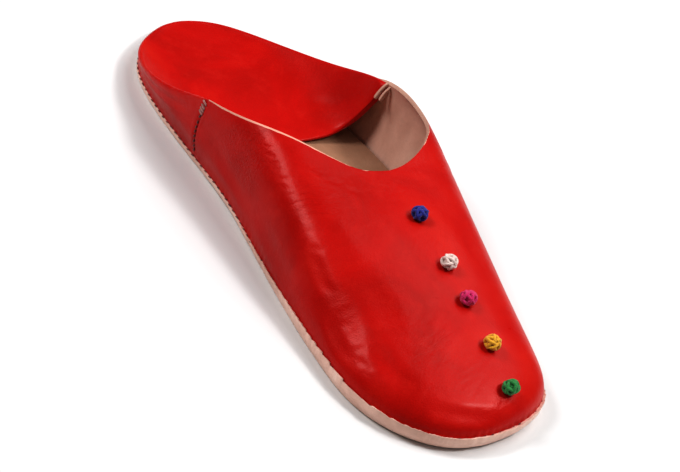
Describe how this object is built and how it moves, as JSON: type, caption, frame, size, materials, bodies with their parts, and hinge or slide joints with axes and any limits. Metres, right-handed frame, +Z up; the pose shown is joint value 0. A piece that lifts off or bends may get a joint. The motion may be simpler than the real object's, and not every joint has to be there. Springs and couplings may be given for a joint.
{
  "type": "babouche slipper",
  "caption": "Soft leather babouche slipper with a round toe, a folded-down heel and thread knots along the vamp.",
  "frame": {"origin": "middle of the slipper's bounding box, on the floor that its sole stands on", "axes": "+Z up, +Y from the toe to the heel, +X towards the wearer's left, which is the outer side of this left slipper"},
  "size_m": [0.097, 0.2552, 0.0424],
  "materials": {
    "sole_leather": "matte, natural vegetable-tanned",
    "insole_leather": "matte, natural",
    "upper_leather": "satin, dyed and polished",
    "blue_thread": "matte wound thread",
    "white_thread": "matte wound thread",
    "pink_thread": "matte wound thread",
    "yellow_thread": "matte wound thread",
    "green_thread": "matte wound thread"
  },
  "bodies": {
    "root": {"outsole": "sole_leather", "insole": "insole_leather", "upper": "upper_leather", "pompom_blue": "blue_thread", "pompom_white": "white_thread", "pompom_pink": "pink_thread", "pompom_yellow": "yellow_thread", "pompom_green": "green_thread"}
  },
  "joints": []
}
